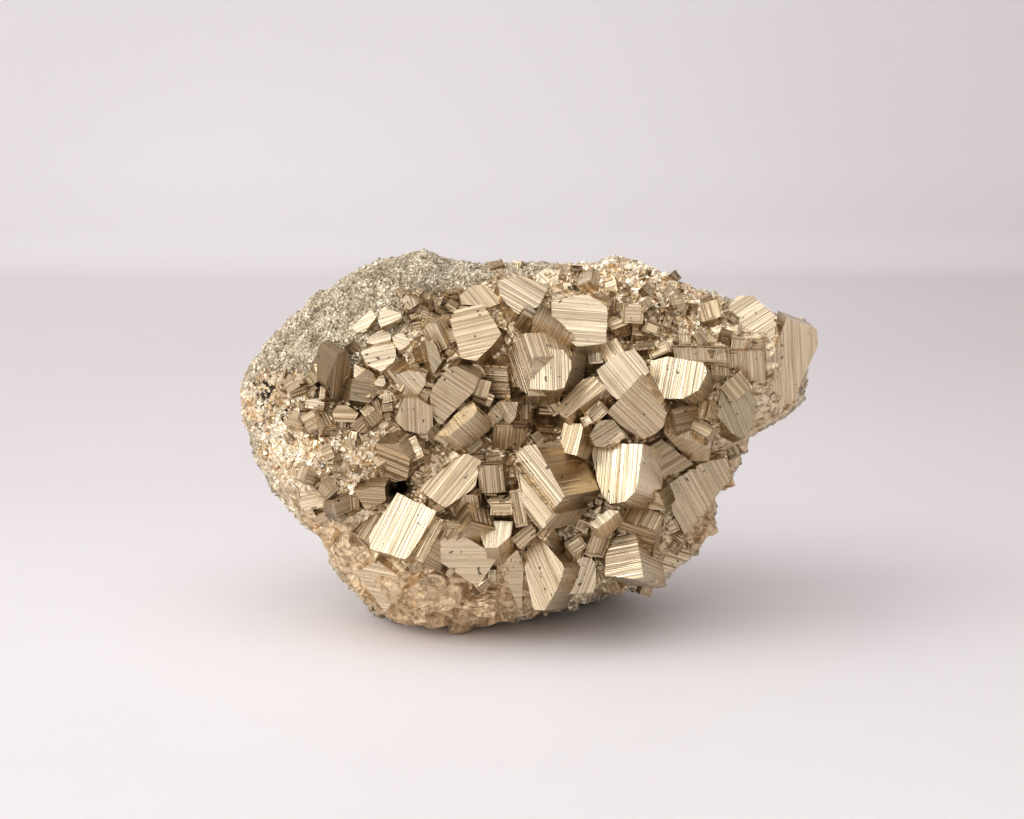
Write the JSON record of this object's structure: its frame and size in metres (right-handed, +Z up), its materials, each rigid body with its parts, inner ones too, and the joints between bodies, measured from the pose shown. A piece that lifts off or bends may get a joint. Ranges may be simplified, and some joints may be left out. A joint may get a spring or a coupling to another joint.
{
  "type": "pyrite crystal cluster specimen",
  "caption": "Rounded hand specimen of massive pyrite whose front face is a cluster of striated metallic cubes grown into one another, worn flat beneath where it rests.",
  "frame": {"origin": "centre of the bounding box, on the plane that the specimen rests on", "axes": "-Y is the crystal face that the picture shows, +X is its right side as seen, +Z is up"},
  "size_m": [0.0984, 0.066, 0.0633],
  "materials": {
    "pyrite": "satin"
  },
  "bodies": {
    "root": {"pyrite_specimen": "pyrite"}
  },
  "joints": []
}
